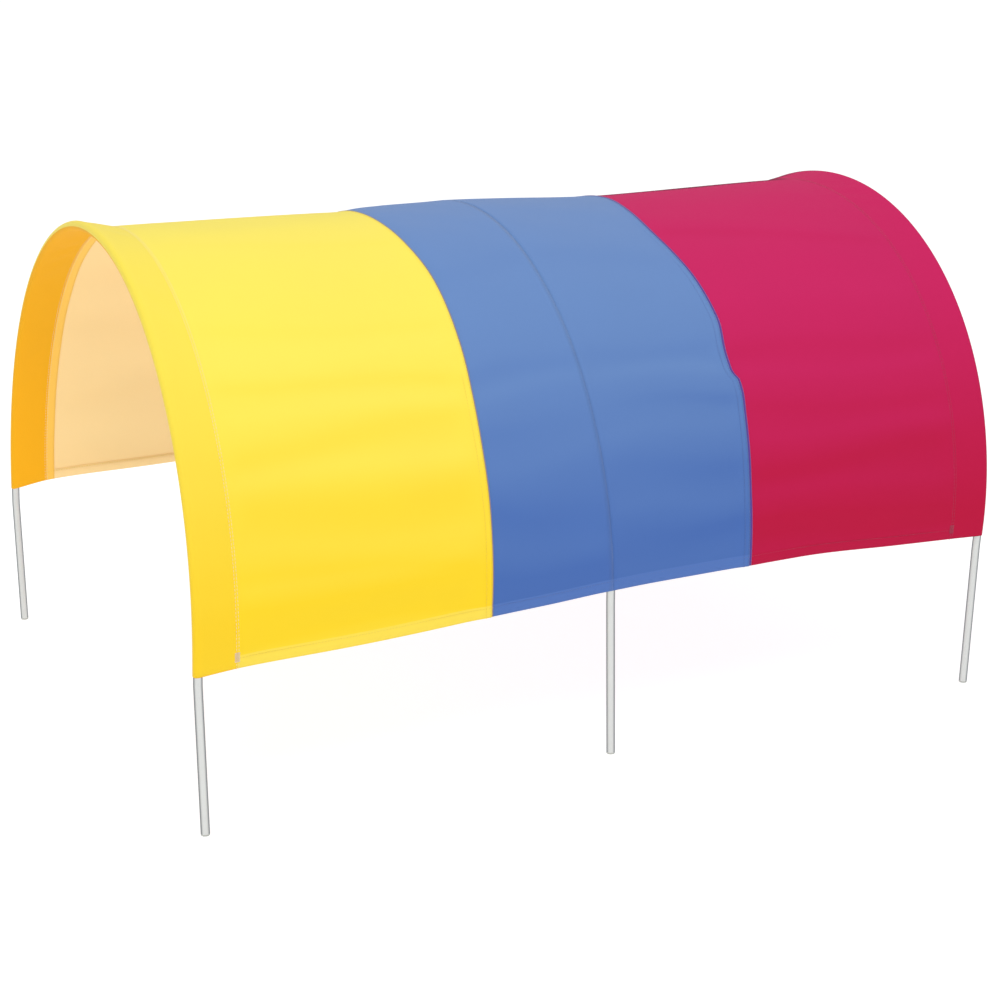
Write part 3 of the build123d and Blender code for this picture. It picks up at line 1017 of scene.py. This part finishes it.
def pocketStitches():
    # two rows in each sewn edge of the pocket, on its underside
    grid = pocketGrid(pocket)
    n, cols = gridNormals(grid), grid.shape[1]
    places = ((0, 0.0018), (2, -0.0004), (cols - 3, 0.0004), (cols - 1, -0.0018))
    runs = [columnRun(grid, n, column, shift, -out) for column, shift in places]
    stitchRuns("pocketStitches", runs, "blueThread", sewing["fine"], "middle_hoop")


pocketStitches()


def barTacks(name, key, column, thread, body):
    # dense short bars across the ends of a sleeve's stitch line
    grid, n = grids[key], normal[key]
    side = alongCloth(grid, column) * sewing["tackHalf"]
    runs = []
    for row, inwards in ((0, 1), (-1, -1)):
        edge, inner = grid[row, column], grid[row + 3 * inwards, column]
        up = (inner - edge) / np.linalg.norm(inner - edge)
        for k in range(sewing["tackBars"]):
            height = sewing["tackStart"] + k * sewing["tackStep"]
            centre = edge + up * height + n[row, column] * (out + 0.0001)
            runs.append([centre - side[row], centre, centre + side[row]])
    stitchRuns(name, runs, thread, sewing["tack"], body)


barTacks("yellowBarTacks", "yellow", sleeveColumns, "paleThread", "yellow_hoop")
barTacks("magentaBarTacks", "magenta", last - sleeveColumns, "magentaThread", "magenta_hoop")
print("stitching done")


# tubes, pins and plugs keep their CAD shape
for word, material in (("_tube", zinc), ("_pin", pinSteel), ("_plug", plugNylon)):
    for obj in (bpy.data.objects.get(node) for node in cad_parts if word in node):
        for slot in obj.material_slots:
            slot.material = material
print("tubes finished")


studio = {
    "floor": (170, 170, 170),
    "floorGlow": 0.78,  # lifts the soft shadow under the cloth
    "zenith": 0.80,  # world light from straight above
    "horizon": 0.42,
    "aim": (0, 0, 0.3),
    "lampSize": 2.0,
    "lamps": {"keySoft": ((-0.9, -2.2, 3.2), 52), "backSoft": ((0.6, 1.6, 3.2), 14)},
}


def addFloor(s):
    mesh = bpy.data.meshes.new("floor")
    w = 30
    mesh.from_pydata([(-w, -w, 0), (w, -w, 0), (w, w, 0), (-w, w, 0)], [], [(0, 1, 2, 3)])
    floor = bpy.data.objects.new("floor", mesh)
    scene.collection.objects.link(floor)
    material, tree, shader = newMaterial("floorPaper")
    shader.inputs["Base Color"].default_value = (*linear(s["floor"]), 1)
    shader.inputs["Roughness"].default_value = 0.9
    shader.inputs["Specular IOR Level"].default_value = 0.1
    shader.inputs["Emission Color"].default_value = (1, 1, 1, 1)
    shader.inputs["Emission Strength"].default_value = s["floorGlow"]
    mesh.materials.append(material)


def addLight(name, place, aim, size, power):
    data = bpy.data.lights.new(name, "AREA")
    data.shape, data.size, data.energy = "DISK", size, power
    light = bpy.data.objects.new(name, data)
    scene.collection.objects.link(light)
    direction = Vector(aim) - Vector(place)
    light.matrix_world = Matrix.Translation(place) @ direction.to_track_quat("-Z", "Y").to_matrix().to_4x4()


def addWorld(s):
    # white all round, brighter towards the top
    world = bpy.data.worlds.new("studio")
    scene.world = world
    world.use_nodes = True
    tree = world.node_tree
    place, split = addNode(tree, "ShaderNodeTexCoord"), addNode(tree, "ShaderNodeSeparateXYZ")
    ramp = addNode(tree, "ShaderNodeMapRange")
    tree.links.new(place.outputs["Generated"], split.inputs[0])
    tree.links.new(split.outputs["Z"], ramp.inputs["Value"])
    ramp.inputs["To Min"].default_value, ramp.inputs["To Max"].default_value = s["horizon"], s["zenith"]
    tree.links.new(ramp.outputs["Result"], tree.nodes["Background"].inputs["Strength"])
    tree.nodes["Background"].inputs["Color"].default_value = (1, 1, 1, 1)


addFloor(studio)
addWorld(studio)
for lamp, (place, power) in studio["lamps"].items():
    addLight(lamp, place, studio["aim"], studio["lampSize"], power)
scene.view_settings.view_transform = "Standard"
print("stage lit")
